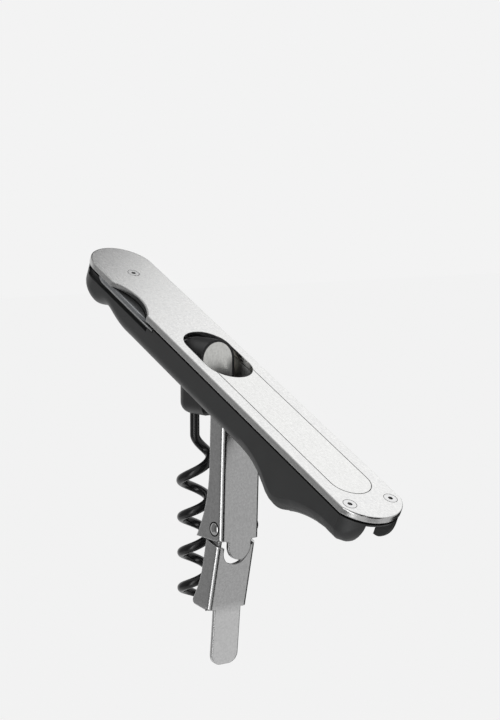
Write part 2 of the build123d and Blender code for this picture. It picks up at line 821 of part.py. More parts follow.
def rivet_profile(tail_clearance, shank_clearance):
    """Half section of a step rivet, its axis along local y and y = 0 on the centre plane."""
    shank = rivet_diameter / 2 + shank_clearance
    tail = rivet_tail_diameter / 2 + tail_clearance
    return [
        (shank, lever_half_width),
        (shank, ear_inner + rivet_tail_height),
        (tail, ear_inner),
        (0, ear_inner),
    ]


def rivet(side):
    """Domed rivet through one flange and the ear inside it."""
    with BuildPart() as body:
        with BuildSketch(Plane(origin=step_point, x_dir=(side, 0, 0), z_dir=(0, 0, side))):
            with BuildLine():
                ThreePointArc(
                    (0, lever_half_width + rivet_head_height),
                    (rivet_head_diameter / 4, lever_half_width + rivet_head_shoulder),
                    (rivet_head_diameter / 2, lever_half_width),
                )
                Polyline(
                    (rivet_head_diameter / 2, lever_half_width),
                    *rivet_profile(0, 0),
                    (0, lever_half_width + rivet_head_height),
                )
            make_face()
        revolve(axis=Axis(step_point, (0, 1, 0)))
        if side < 0:
            mirror(about=Plane(origin=step_point, z_dir=(0, 1, 0)), mode=Mode.REPLACE)
    return body.part


def ear_hole(side):
    """Running hole of one ear of the lower arm, countersunk for the rivet's tail."""
    with BuildPart() as hole:
        with BuildSketch(Plane(origin=step_point, x_dir=(1, 0, 0), z_dir=(0, 0, 1))):
            with BuildLine():
                Polyline(
                    (0, lever_half_width),
                    *rivet_profile(running_clearance, running_clearance),
                    (0, lever_half_width),
                )
            make_face()
        revolve(axis=Axis(step_point, (0, 1, 0)))
        if side < 0:
            mirror(about=Plane(origin=step_point, z_dir=(0, 1, 0)), mode=Mode.REPLACE)
    return hole.part


with BuildPart() as step_rivets:
    add(rivet(1))
    add(rivet(-1))
step_rivets.part.label = "step_rivets"

# Lower arm: wider foot, U shaped cut that takes the upper tongue, and the long rim tongue
lower_back_x = flare(lower_flare_start, lower_back_length, lower_flare_radius, lower_back)
flare_middle = (lower_flare_start + lower_back_length) / 2
lower_middle_x = flare(lower_flare_start, flare_middle, lower_flare_radius, lower_back)
tongue_slope = radians(tongue_tilt)
tongue_down = Vector(-sin(tongue_slope), 0, -cos(tongue_slope))
tongue_out = Vector(cos(tongue_slope), 0, -sin(tongue_slope))
bend_half = (lower_slope - tongue_slope) / 2
inner_bend_point = rim_bend_point - (lower_out + tongue_out) * (sheet / 2 / cos(bend_half) ** 2)
lap_point = rim_bend_point - lower_down * rim_lap
tip_point = rim_bend_point + tongue_down * rim_tongue_length
with BuildPart() as lower_arm:
    with BuildSketch(lower_side) as lower_arm_side:
        with BuildLine():
            Polyline(
                (-lower_back, -lower_flare_start),
                (-lower_back, -lower_top_back),
                (lower_front, -lower_top_front),
                (lower_front, -lower_length),
                (lower_back_x, -lower_back_length),
            )
            ThreePointArc(
                (lower_back_x, -lower_back_length),
                (lower_middle_x, -flare_middle),
                (-lower_back, -lower_flare_start),
            )
        make_face()
        fillet(lower_arm_side.vertices().sort_by(Axis.X)[0], heel_radius)
    extrude(amount=lever_half_width, both=True)
    add(channel_run(step_point, lower_tilt, lower_front, lower_back_length), mode=Mode.INTERSECT)
    with BuildSketch(lower_face.offset(lower_front)):
        with Locations((0, -lower_web_top / 2)):
            Rectangle(2 * flange_inner, lower_web_top)
        with Locations((0, u_cut_half - u_cut_bottom)):
            Circle(u_cut_half)
        with Locations((0, (u_cut_half - u_cut_bottom) / 2)):
            Rectangle(2 * u_cut_half, u_cut_bottom - u_cut_half)
        add(rounded_corner_cut(lever_half_width, -lower_length, foot_radius))
    extrude(amount=-bend_radius, mode=Mode.SUBTRACT)
    for side in (-1, 1):
        with BuildSketch(lower_side.offset(-side * ear_inner)):
            with Locations((ear_front - ear_radius, 0)):
                Circle(ear_radius)
            with Locations(((lower_front - sheet - lower_back) / 2, -(ear_length + ear_radius) / 2)):
                Rectangle(lower_front - sheet + lower_back, ear_length - ear_radius)
            with BuildLine():
                Polyline(
                    (ear_front - 2 * ear_radius, 0),
                    (ear_front, 0),
                    (lower_front - sheet, -ear_radius),
                    (-lower_back, -ear_radius),
                    close=True,
                )
            make_face()
        extrude(amount=-side * sheet)
        with BuildSketch(lower_side.offset(-side * ear_outer)):
            with Locations(((lower_front - sheet - lower_back) / 2, -(ear_length + ear_pad_top) / 2)):
                Rectangle(lower_front - sheet + lower_back, ear_length - ear_pad_top)
        extrude(amount=-side * 2 * ear_clearance)
    with BuildSketch(Plane(origin=(0, 0, 0), x_dir=(1, 0, 0), z_dir=(0, -1, 0))):
        with BuildLine():
            Polyline(
                (lap_point.X, lap_point.Z),
                (rim_bend_point.X, rim_bend_point.Z),
                (tip_point.X, tip_point.Z),
                ((tip_point - tongue_out * sheet).X, (tip_point - tongue_out * sheet).Z),
                (inner_bend_point.X, inner_bend_point.Z),
                ((lap_point - lower_out * sheet).X, (lap_point - lower_out * sheet).Z),
                close=True,
            )
        make_face()
    extrude(amount=rim_tongue_half, both=True)
    tip_edges = lower_arm.edges().filter_by(Axis(rim_bend_point, tongue_out)).group_by(Axis.Z)[0]
    fillet(tip_edges, rim_tongue_corner)
    add(ear_hole(1), mode=Mode.SUBTRACT)
    add(ear_hole(-1), mode=Mode.SUBTRACT)
lower_arm.part.label = "lower_arm"

# Detent spring: arched leaf between the channel's left wall and the hub's back
spring_crown = hub_cam_radius + spring_gap
with BuildPart() as detent_spring:
    with BuildSketch(handle_side):
        with BuildLine():
            ThreePointArc(
                (-channel_left, spring_half_span - hub_pin_depth),
                (-spring_crown, -hub_pin_depth),
                (-channel_left, -spring_half_span - hub_pin_depth),
            )
            Line(
                (-channel_left, -spring_half_span - hub_pin_depth),
                (-channel_left, spring_thickness - spring_half_span - hub_pin_depth),
            )
            ThreePointArc(
                (-channel_left, spring_thickness - spring_half_span - hub_pin_depth),
                (-spring_crown - spring_thickness, -hub_pin_depth),
                (-channel_left, spring_half_span - spring_thickness - hub_pin_depth),
            )
            Line(
                (-channel_left, spring_half_span - spring_thickness - hub_pin_depth),
                (-channel_left, spring_half_span - hub_pin_depth),
            )
        make_face()
    extrude(amount=spring_width / 2, both=True)
detent_spring.part.label = "detent_spring"

# One file per node
nodes = [
    top_plate.part, plate_inlay.part, handle_body.part, end_screws.part, blade_screw.part,
    foil_blade.part, worm_hub.part, hub_face.part, worm.part, upper_arm.part, lower_arm.part,
    step_rivets.part, liner_near, liner_far, hub_pin, lever_pin, hub_bush.part, hub_washers,
    lever_washers, worm_roll_pin, detent_spring.part, blade_washer.part, blade_insert.part,
    end_inserts.part,
]
os.makedirs("parts", exist_ok=True)
for node in nodes:
    export_step(node, f"parts/{node.label}.step")
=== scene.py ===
import bpy
from math import cos, pi, radians, sin
from mathutils import Matrix, Vector


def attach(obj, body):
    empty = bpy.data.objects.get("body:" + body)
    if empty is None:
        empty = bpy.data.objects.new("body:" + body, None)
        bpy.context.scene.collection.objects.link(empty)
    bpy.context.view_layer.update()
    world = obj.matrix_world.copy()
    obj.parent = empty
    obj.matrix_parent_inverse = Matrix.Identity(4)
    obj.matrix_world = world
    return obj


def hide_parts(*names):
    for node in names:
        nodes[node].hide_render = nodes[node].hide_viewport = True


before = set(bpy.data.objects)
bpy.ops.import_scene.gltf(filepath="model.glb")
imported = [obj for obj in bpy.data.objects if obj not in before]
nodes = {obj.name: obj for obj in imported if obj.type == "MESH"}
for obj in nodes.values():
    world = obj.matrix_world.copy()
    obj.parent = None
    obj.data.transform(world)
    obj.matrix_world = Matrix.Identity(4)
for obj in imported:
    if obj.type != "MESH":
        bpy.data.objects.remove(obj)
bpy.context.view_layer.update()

scene = bpy.context.scene
MM = 0.001


# Camera: a short telephoto half a metre away on the lever's side and a little above it, with the
# long handle running away to the left. Its turn and place were fitted to a frame of 500 by 720.
azimuth, elevation = radians(36.889), radians(6.119)
camera_place = Vector((399.293, -281.549, 118.694)) * MM
focal_length_pixels, frame_height_pixels = 1878.511, 720
towards = Vector((cos(azimuth) * cos(elevation), -sin(azimuth) * cos(elevation), sin(elevation)))
rightward = Vector((sin(azimuth), cos(azimuth), 0))
camera = bpy.data.objects.new("camera", bpy.data.cameras.new("camera"))
camera.data.sensor_fit = "VERTICAL"
camera.data.sensor_height = 36
camera.data.lens = focal_length_pixels * camera.data.sensor_height / frame_height_pixels
camera.data.clip_start = 0.01
camera_turn = Matrix((rightward, towards.cross(rightward), towards)).transposed().to_4x4()
camera.matrix_world = Matrix.Translation(camera_place) @ camera_turn
scene.collection.objects.link(camera)
scene.camera = camera
scene.view_settings.view_transform = "Standard"


# Studio: a pale room and a pale sweep far below the tool, which is held up and stands on nothing.
# The sweep shows its own tone, with a share of plain paper that keeps the tool's soft shadow.
def hex_colour(code):
    parts = [int(code[i:i + 2], 16) / 255 for i in (1, 3, 5)]
    return [c / 12.92 if c <= 0.04045 else ((c + 0.055) / 1.055) ** 2.4 for c in parts] + [1]


def node(tree, kind, inputs=None, **settings):
    made = tree.nodes.new(kind)
    for name, value in settings.items():
        setattr(made, name, value)
    for name, value in (inputs or {}).items():
        if isinstance(value, bpy.types.NodeSocket):
            tree.links.new(value, made.inputs[name])
        else:
            made.inputs[name].default_value = value
    return made


backdrop_tone = hex_colour("#F3F3F3")
room = bpy.data.worlds.new("pale_room")
scene.world = room
room.use_nodes = True
room_tree = room.node_tree
room_tree.nodes.clear()
rays = node(room_tree, "ShaderNodeLightPath")
seen = node(
    room_tree, "ShaderNodeMath",
    {0: rays.outputs["Is Camera Ray"], 1: rays.outputs["Is Transmission Ray"]}, operation="MAXIMUM",
)
mirrored = node(
    room_tree, "ShaderNodeMath",
    {0: seen.outputs[0], 1: rays.outputs["Is Glossy Ray"]}, operation="MAXIMUM",
)
backdrop = node(room_tree, "ShaderNodeBackground", {"Color": backdrop_tone, "Strength": 1})
room_light = node(
    room_tree, "ShaderNodeBackground", {"Color": hex_colour("#FFFFFF"), "Strength": 0.8}
)
room_mix = node(
    room_tree, "ShaderNodeMixShader",
    {0: mirrored.outputs[0], 1: room_light.outputs[0], 2: backdrop.outputs[0]},
)
node(room_tree, "ShaderNodeOutputWorld", {"Surface": room_mix.outputs[0]})


def soft_lamp(name, place, aim, size, power):
    lamp = bpy.data.lights.new(name, "AREA")
    lamp.shape = "RECTANGLE"
    lamp.size, lamp.size_y = size
    lamp.energy = power
    lamp_object = bpy.data.objects.new(name, lamp)
    lamp_object.location = place
    lamp_object.rotation_euler = (Vector(aim) - Vector(place)).to_track_quat("-Z", "Y").to_euler()
    lamp_object.visible_camera = False
    scene.collection.objects.link(lamp_object)


# Places, aims and sizes are in metres and the power in watts.
soft_lamp(
    "back_softbox", place=(-0.04, 0.425, 0.477), aim=(0.02, 0, 0.06), size=(0.6, 0.5), power=0.9
)
soft_lamp(
    "front_softbox", place=(0.245, -0.377, -0.02), aim=(0.02, 0, 0.03), size=(0.11, 0.52),
    power=0.74,
)


# Flags: grey cards at the front and the back left, and dark ones at the right, that only glossy
# rays see. They give folded and punched steel its darker sides and the lines at its bends.
def stage_plane(name, corners, material):
    mesh = bpy.data.meshes.new(name)
    mesh.from_pydata(corners, [], [(0, 1, 2, 3)])
    mesh.materials.append(material)
    plane = bpy.data.objects.new(name, mesh)
    scene.collection.objects.link(plane)
    return plane


def card_paper(name, tone):
    material = bpy.data.materials.new(name)
    material.use_nodes = True
    tree = material.node_tree
    tree.nodes.clear()
    light = node(tree, "ShaderNodeEmission", {"Color": hex_colour(tone), "Strength": 1})
    node(tree, "ShaderNodeOutputMaterial", {"Surface": light.outputs[0]})
    return material


def flag(name, heading, distance, width, bottom, top, tone):
    middle = Vector((cos(radians(heading)), sin(radians(heading)), 0)) * distance
    side = Vector((-sin(radians(heading)), cos(radians(heading)), 0)) * width / 2
    low, high = Vector((0, 0, bottom)), Vector((0, 0, top))
    corners = [middle - side + low, middle + side + low, middle + side + high, middle - side + high]
    card = stage_plane(name, corners, card_paper(name + "_paper", tone))
    for kind in ("camera", "diffuse", "transmission", "shadow"):
        setattr(card, "visible_" + kind, False)


# Each card has its heading in degrees, then its distance, width, bottom and top in metres.
for card in (
    ("front_left_grey_card", 230, 0.5, 0.58, -0.3, 0.5, "#B0B0B0"),
    ("back_left_grey_card", 152, 0.5, 0.325, 0.2, 1.0, "#343434"),
    ("front_grey_card", 275, 0.5, 0.26, -0.4, 0.5, "#8C8C8C"),
    ("right_dark_card", 2, 0.4, 0.29, -0.4, 0.4, "#161616"),
    ("back_right_dark_card", 106, 0.5, 0.72, -0.4, 0.1, "#303030"),
):
    flag(*card)

# The sweep's paper lies 0.42 m below the tool and runs 6 m to each side.
span, drop = 6, -0.42
sweep_paper = bpy.data.materials.new("sweep_paper")
sweep_paper.use_nodes = True
paper_tree = sweep_paper.node_tree
paper_tree.nodes.clear()
rays = node(paper_tree, "ShaderNodeLightPath")
# A camera ray sees 70 parts of lit tone and 30 of paper, and a glossy ray sees the tone alone. The
# tone is lifted for the camera, so that both together come out as pale as the room behind.
lit_share, lit_lift = 0.7, 0.24
paper_seen = node(
    paper_tree, "ShaderNodeMath",
    {0: rays.outputs["Is Camera Ray"], 1: lit_share, 2: rays.outputs["Is Glossy Ray"]},
    operation="MULTIPLY_ADD",
)
paper_glow = node(
    paper_tree, "ShaderNodeMath",
    {0: rays.outputs["Is Camera Ray"], 1: lit_lift, 2: 1}, operation="MULTIPLY_ADD",
)
paper_light = node(
    paper_tree, "ShaderNodeEmission", {"Color": backdrop_tone, "Strength": paper_glow.outputs[0]}
)
paper_dull = node(paper_tree, "ShaderNodeBsdfDiffuse", {"Color": hex_colour("#B4B4B4")})
paper_mix = node(
    paper_tree, "ShaderNodeMixShader",
    {0: paper_seen.outputs[0], 1: paper_dull.outputs[0], 2: paper_light.outputs[0]},
)
node(paper_tree, "ShaderNodeOutputMaterial", {"Surface": paper_mix.outputs[0]})
stage_plane(
    "sweep",
    [(-span, -span, drop), (span, -span, drop), (span, span, drop), (-span, span, drop)],
    sweep_paper,
)


# Handle body: glass filled nylon, injection moulded in one piece round the channel for the worm
# and the lever. The mould's spark eroded skin makes it satin, and its glass shows as faint clouds.
def principled(name):
    material = bpy.data.materials.new(name)
    material.use_nodes = True
    tree = material.node_tree
    tree.nodes.clear()
    surface = node(tree, "ShaderNodeBsdfPrincipled")
    node(tree, "ShaderNodeOutputMaterial", {"Surface": surface.outputs[0]})
    return material, tree, surface


def dress(names, material):
    for name in names:
        for slot in nodes[name].material_slots:
            slot.material = material


def moulded_nylon(name, dark, light, rough_low, rough_high, edge_mm):
    material, tree, surface = principled(name)
    place = node(tree, "ShaderNodeTexCoord")
    # Spark erosion leaves pits of about 0.05 mm, drawn at 0.18 mm so that they show. The glass near
    # the skin shows as faint clouds of about 6 mm.
    pit_width, pit_depth, cloud_width = 0.18 * MM, 0.02 * MM, 6 * MM
    skin = node(
        tree, "ShaderNodeTexNoise",
        {"Vector": place.outputs["Object"], "Scale": 1 / pit_width, "Detail": 2, "Roughness": 0.6},
    )
    cloud = node(
        tree, "ShaderNodeTexNoise",
        {"Vector": place.outputs["Object"], "Scale": 1 / cloud_width, "Detail": 3},
    )
    tone = node(
        tree, "ShaderNodeMix",
        {"Factor": cloud.outputs[0], 6: hex_colour(dark), 7: hex_colour(light)}, data_type="RGBA",
    )
    gloss = node(
        tree, "ShaderNodeMapRange",
        {"Value": cloud.outputs[0], "From Min": 0.3, "From Max": 0.7,
         "To Min": rough_low, "To Max": rough_high},
    )
    edges = node(tree, "ShaderNodeBevel", {"Radius": edge_mm * MM}, samples=6)
    relief = node(
        tree, "ShaderNodeBump",
        {"Height": skin.outputs[0], "Strength": 0.35, "Distance": pit_depth,
         "Normal": edges.outputs[0]},
    )
    tree.links.new(tone.outputs[2], surface.inputs["Base Color"])
    tree.links.new(gloss.outputs[0], surface.inputs["Roughness"])
    tree.links.new(relief.outputs[0], surface.inputs["Normal"])
    # The eroded skin scatters part of what it mirrors, so its sheen is weaker than smooth nylon's.
    surface.inputs["IOR"].default_value = 1.53
    surface.inputs["Specular IOR Level"].default_value = 0.36
    return material


body_nylon = moulded_nylon(
    "moulded_nylon_body", "#1E1E1F", "#292A2A", rough_low=0.36, rough_high=0.46, edge_mm=0.3
)
dress(["handle_body"], body_nylon)


# Side plates and spring: stainless sheet let into the channel walls to take the pins, and the leaf
# spring over the hub. All are rolled sheet, left as it comes from the mill, with a fine grain.
def brushed_steel(name, low, high, lay, grain_mm, streak, rough_low, rough_high, relief_share,
                  edge_mm):
    material, tree, surface = principled(name)
    # Real brushing and mill grain is near 0.05 mm wide, drawn 0.2 to 0.3 mm wide so that it shows.
    # Handling dulls the sheet in faint patches of about 0.6 mm.
    groove_depth, patch_width = 0.02 * MM, 0.6 * MM
    place = node(tree, "ShaderNodeTexCoord")
    turned = node(
        tree, "ShaderNodeMapping", {"Vector": place.outputs["Object"], "Rotation": (0, lay, 0)},
        vector_type="TEXTURE",
    )
    drawn = node(
        tree, "ShaderNodeMapping",
        {"Vector": turned.outputs[0],
         "Scale": tuple(1 / (grain_mm * MM * long) for long in streak)},
    )
    lines = node(
        tree, "ShaderNodeTexNoise",
        {"Vector": drawn.outputs[0], "Scale": 1, "Detail": 3, "Roughness": 0.65},
    )
    cloud = node(
        tree, "ShaderNodeTexNoise",
        {"Vector": place.outputs["Object"], "Scale": 1 / patch_width, "Detail": 2},
    )
    blend = node(
        tree, "ShaderNodeMath",
        {0: lines.outputs[0], 1: 0.75, 2: cloud.outputs[0]}, operation="MULTIPLY_ADD",
    )
    tone_share = node(
        tree, "ShaderNodeMapRange", {"Value": blend.outputs[0], "From Min": 0.58, "From Max": 1.16}
    )
    tone = node(
        tree, "ShaderNodeMix",
        {"Factor": tone_share.outputs[0], 6: hex_colour(low), 7: hex_colour(high)},
        data_type="RGBA",
    )
    gloss = node(
        tree, "ShaderNodeMapRange",
        {"Value": lines.outputs[0], "From Min": 0.3, "From Max": 0.7,
         "To Min": rough_low, "To Max": rough_high},
    )
    edges = node(tree, "ShaderNodeBevel", {"Radius": edge_mm * MM}, samples=12)
    relief = node(
        tree, "ShaderNodeBump",
        {"Height": lines.outputs[0], "Strength": relief_share, "Distance": groove_depth,
         "Normal": edges.outputs[0]},
    )
    tree.links.new(tone.outputs[2], surface.inputs["Base Color"])
    tree.links.new(gloss.outputs[0], surface.inputs["Roughness"])
    tree.links.new(relief.outputs[0], surface.inputs["Normal"])
    surface.inputs["Metallic"].default_value = 1
    return material


# The handle's tilt, which its grain, its blade and its seams follow.
handle_tilt = radians(25.9)
mill_steel = brushed_steel(
    "mill_rolled_liner", "#9E9FA0", "#B4B5B5", lay=handle_tilt, grain_mm=0.2, streak=(12, 1, 1),
    rough_low=0.3, rough_high=0.42, relief_share=0.3, edge_mm=0.15,
)
dress(["liner_near", "liner_far", "detent_spring"], mill_steel)


# Pins, rivets and washers: the pins and rivets are hardened steel, ground and polished until they
# mirror the room. The washers and the bush are turned acetal, cream and dull, and the threaded
# inserts are turned brass pressed into the body.
def turned_metal(name, low, high, rough_low, rough_high):
    material, tree, surface = principled(name)
    place = node(tree, "ShaderNodeTexCoord")
    # Turning and handling leave faint patches of about 0.5 mm, and edges are broken by 0.12 mm.
    patch_width, edge_radius = 0.5 * MM, 0.12 * MM
    cloud = node(
        tree, "ShaderNodeTexNoise",
        {"Vector": place.outputs["Object"], "Scale": 1 / patch_width, "Detail": 3},
    )
    tone = node(
        tree, "ShaderNodeMix",
        {"Factor": cloud.outputs[0], 6: hex_colour(low), 7: hex_colour(high)}, data_type="RGBA",
    )
    gloss = node(
        tree, "ShaderNodeMapRange",
        {"Value": cloud.outputs[0], "From Min": 0.35, "From Max": 0.65,
         "To Min": rough_low, "To Max": rough_high},
    )
    edges = node(tree, "ShaderNodeBevel", {"Radius": edge_radius}, samples=6)
    tree.links.new(edges.outputs[0], surface.inputs["Normal"])
    tree.links.new(tone.outputs[2], surface.inputs["Base Color"])
    tree.links.new(gloss.outputs[0], surface.inputs["Roughness"])
    surface.inputs["Metallic"].default_value = 1
    return material


polished_steel = turned_metal(
    "polished_hardened_steel", "#8C8C8C", "#A0A0A0", rough_low=0.08, rough_high=0.16
)
dress(["hub_pin", "lever_pin", "worm_roll_pin", "step_rivets"], polished_steel)
turned_brass = turned_metal(
    "turned_brass", "#C09A50", "#D0AC66", rough_low=0.25, rough_high=0.38
)
dress(["blade_insert", "end_inserts"], turned_brass)
turned_acetal = moulded_nylon(
    "turned_acetal", "#CFCBBE", "#DAD6CA", rough_low=0.35, rough_high=0.45, edge_mm=0.1
)
dress(["hub_bush", "hub_washers", "lever_washers", "blade_washer"], turned_acetal)


# Hub: the rocker that carries the worm, moulded in the same nylon as the body, with a flat steel
# face pressed into its front. The face is brushed upright, so its streaks run down the metal.
hub_nylon = moulded_nylon(
    "moulded_nylon_hub", "#131314", "#1B1B1C", rough_low=0.42, rough_high=0.52, edge_mm=0.35
)
dress(["worm_hub"], hub_nylon)
face_steel = brushed_steel(
    "brushed_hub_face", "#C4C4C1", "#DCDCD9", lay=0, grain_mm=0.22, streak=(1, 1, 22),
    rough_low=0.26, rough_high=0.38, relief_share=0.4, edge_mm=0.12,
)
dress(["hub_face"], face_steel)


# Worm: spring steel wire wound to a helix, ground to a point, then coated with a black
# fluoropolymer so that it slides. The coating is glossy and pulls a long light line down the wire.
def coated_wire(name, dark, light, rough_low, rough_high):
    material, tree, surface = principled(name)
    place = node(tree, "ShaderNodeTexCoord")
    # Spray peel of about 0.3 mm, as a thin fluoropolymer film shows it.
    peel_width, peel_depth = 0.3 * MM, 0.01 * MM
    peel = node(
        tree, "ShaderNodeTexNoise",
        {"Vector": place.outputs["Object"], "Scale": 1 / peel_width, "Detail": 2},
    )
    tone = node(
        tree, "ShaderNodeMix",
        {"Factor": peel.outputs[0], 6: hex_colour(dark), 7: hex_colour(light)}, data_type="RGBA",
    )
    gloss = node(
        tree, "ShaderNodeMapRange",
        {"Value": peel.outputs[0], "From Min": 0.3, "From Max": 0.7,
         "To Min": rough_low, "To Max": rough_high},
    )
    relief = node(
        tree, "ShaderNodeBump",
        {"Height": peel.outputs[0], "Strength": 0.15, "Distance": peel_depth},
    )
    tree.links.new(tone.outputs[2], surface.inputs["Base Color"])
    tree.links.new(gloss.outputs[0], surface.inputs["Roughness"])
    tree.links.new(relief.outputs[0], surface.inputs["Normal"])
    surface.inputs["IOR"].default_value = 1.38
    return material


def making_tree(name, sizes):
    tree = bpy.data.node_groups.new(name, "GeometryNodeTree")
    tree.interface.new_socket("Geometry", in_out="INPUT", socket_type="NodeSocketGeometry")
    tree.interface.new_socket("Geometry", in_out="OUTPUT", socket_type="NodeSocketGeometry")
    for size in sizes:
        tree.interface.new_socket(size, in_out="INPUT", socket_type="NodeSocketFloat")
    tree.interface.new_socket("Finish", in_out="INPUT", socket_type="NodeSocketMaterial")
    return tree, node(tree, "NodeGroupInput").outputs


def made_by(tree, name, path, sizes, finish):
    blank = bpy.data.objects.new(name + "_blank", path)
    scene.collection.objects.link(blank)
    maker = blank.modifiers.new("maker", "NODES")
    maker.node_group = tree
    for socket in tree.interface.items_tree:
        if socket.name in sizes:
            maker[socket.identifier] = sizes[socket.name]
        if socket.name == "Finish":
            maker[socket.identifier] = finish
    shape = blank.evaluated_get(bpy.context.evaluated_depsgraph_get())
    piece = bpy.data.objects.new(name, bpy.data.meshes.new_from_object(shape))
    blank.modifiers.clear()
    bpy.data.objects.remove(blank)
    scene.collection.objects.link(piece)
    return piece


worm_coat = coated_wire(
    "black_fluoropolymer_coat", "#0C0C0D", "#121213", rough_low=0.2, rough_high=0.3
)
worm_sizes = {
    "Wire Diameter": 2.5 * MM, "Shank Top": 67.0 * MM,
    "Entry Bottom": 40.8 * MM, "Entry Rise": 6.0 * MM, "Entry Radius": 4.0 * MM,
    "Entry Pitch": 15.0 * MM, "Lead Drop": 10.0 * MM,
    "Helix Radius": 3.5 * MM, "Helix Pitch": 9.5 * MM, "Start Angle": radians(53.1),
    "Tip Rise": 5.2 * MM, "Tip Radius": 0.15 * MM,
}
winding, given = making_tree("wound_wire", worm_sizes)
rod_top = node(winding, "ShaderNodeCombineXYZ", {"Z": given["Shank Top"]})
rod = node(
    winding, "GeometryNodeCurvePrimitiveLine", {"Start": rod_top.outputs[0], "End": (0, 0, 0)}
)
rod_points = node(winding, "GeometryNodeResampleCurve", {"Curve": rod.outputs[0], "Count": 720})
rod_place = node(winding, "GeometryNodeInputPosition")
rod_height = node(winding, "ShaderNodeSeparateXYZ", {0: rod_place.outputs[0]}).outputs["Z"]
entry_top = node(winding, "ShaderNodeMath", {0: given["Entry Bottom"], 1: given["Entry Rise"]})
lead_end = node(
    winding, "ShaderNodeMath",
    {0: given["Entry Bottom"], 1: given["Lead Drop"]}, operation="SUBTRACT",
)
# The radius swings out smoothly over the entry, then settles to the helix over the lead.
swing = node(
    winding, "ShaderNodeMapRange",
    {"Value": rod_height, "From Min": given["Entry Bottom"], "From Max": entry_top.outputs[0],
     "To Min": given["Entry Radius"], "To Max": 0}, interpolation_type="SMOOTHSTEP",
)
settle = node(
    winding, "ShaderNodeMapRange",
    {"Value": rod_height, "From Min": lead_end.outputs[0], "From Max": given["Entry Bottom"],
     "To Min": given["Helix Radius"], "To Max": given["Entry Radius"]},
    interpolation_type="SMOOTHSTEP",
)
reach = node(
    winding, "ShaderNodeMath", {0: swing.outputs[0], 1: settle.outputs[0]}, operation="MINIMUM"
)
# Turns wound in the entry: rise / entry pitch / 3 x (1 - share cubed).
entry_share = node(
    winding, "ShaderNodeMapRange",
    {"Value": rod_height, "From Min": given["Entry Bottom"], "From Max": entry_top.outputs[0],
     "To Min": 1, "To Max": 0},
)
share_cubed = node(winding, "ShaderNodeMath", {0: entry_share.outputs[0], 1: 3}, operation="POWER")
wound_share = node(
    winding, "ShaderNodeMath", {0: 1, 1: share_cubed.outputs[0]}, operation="SUBTRACT"
)
entry_full = node(
    winding, "ShaderNodeMath", {0: given["Entry Rise"], 1: given["Entry Pitch"]}, operation="DIVIDE"
)
entry_turns = node(
    winding, "ShaderNodeMath",
    {0: entry_full.outputs[0], 1: wound_share.outputs[0]}, operation="MULTIPLY",
)
# Turns wound in the lead: its drop x (share / entry pitch + share squared x gain / 2).
lead_share = node(
    winding, "ShaderNodeMapRange",
    {"Value": rod_height, "From Min": lead_end.outputs[0], "From Max": given["Entry Bottom"],
     "To Min": 1, "To Max": 0},
)
entry_rate = node(winding, "ShaderNodeMath", {0: 1, 1: given["Entry Pitch"]}, operation="DIVIDE")
helix_rate = node(winding, "ShaderNodeMath", {0: 1, 1: given["Helix Pitch"]}, operation="DIVIDE")
rate_gain = node(
    winding, "ShaderNodeMath",
    {0: helix_rate.outputs[0], 1: entry_rate.outputs[0]}, operation="SUBTRACT",
)
half_share = node(
    winding, "ShaderNodeMath", {0: lead_share.outputs[0], 1: 0.5}, operation="MULTIPLY"
)
lead_rate = node(
    winding, "ShaderNodeMath",
    {0: rate_gain.outputs[0], 1: half_share.outputs[0], 2: entry_rate.outputs[0]},
    operation="MULTIPLY_ADD",
)
lead_depth = node(
    winding, "ShaderNodeMath",
    {0: given["Lead Drop"], 1: lead_share.outputs[0]}, operation="MULTIPLY",
)
lead_turns = node(
    winding, "ShaderNodeMath",
    {0: lead_depth.outputs[0], 1: lead_rate.outputs[0]}, operation="MULTIPLY",
)
below_lead = node(
    winding, "ShaderNodeMath", {0: lead_end.outputs[0], 1: rod_height}, operation="SUBTRACT"
)
helix_depth = node(winding, "ShaderNodeMath", {0: below_lead.outputs[0], 1: 0}, operation="MAXIMUM")
turns_down = node(
    winding, "ShaderNodeMath",
    {0: helix_depth.outputs[0], 1: helix_rate.outputs[0], 2: lead_turns.outputs[0]},
    operation="MULTIPLY_ADD",
)
turns_up = node(winding, "ShaderNodeMath", {0: entry_turns.outputs[0], 1: 3}, operation="DIVIDE")
turns = node(
    winding, "ShaderNodeMath",
    {0: turns_up.outputs[0], 1: turns_down.outputs[0]}, operation="SUBTRACT",
)
angle = node(
    winding, "ShaderNodeMath", {0: turns.outputs[0], 1: 2 * pi, 2: given["Start Angle"]},
    operation="MULTIPLY_ADD",
)
angle_cos = node(winding, "ShaderNodeMath", {0: angle.outputs[0]}, operation="COSINE")
angle_sin = node(winding, "ShaderNodeMath", {0: angle.outputs[0]}, operation="SINE")
out_x = node(
    winding, "ShaderNodeMath", {0: reach.outputs[0], 1: angle_cos.outputs[0]}, operation="MULTIPLY"
)
out_y = node(
    winding, "ShaderNodeMath", {0: reach.outputs[0], 1: angle_sin.outputs[0]}, operation="MULTIPLY"
)
wound_place = node(
    winding, "ShaderNodeCombineXYZ", {"X": out_x.outputs[0], "Y": out_y.outputs[0], "Z": rod_height}
)
wound = node(
    winding, "GeometryNodeSetPosition",
    {"Geometry": rod_points.outputs[0], "Position": wound_place.outputs[0]},
)
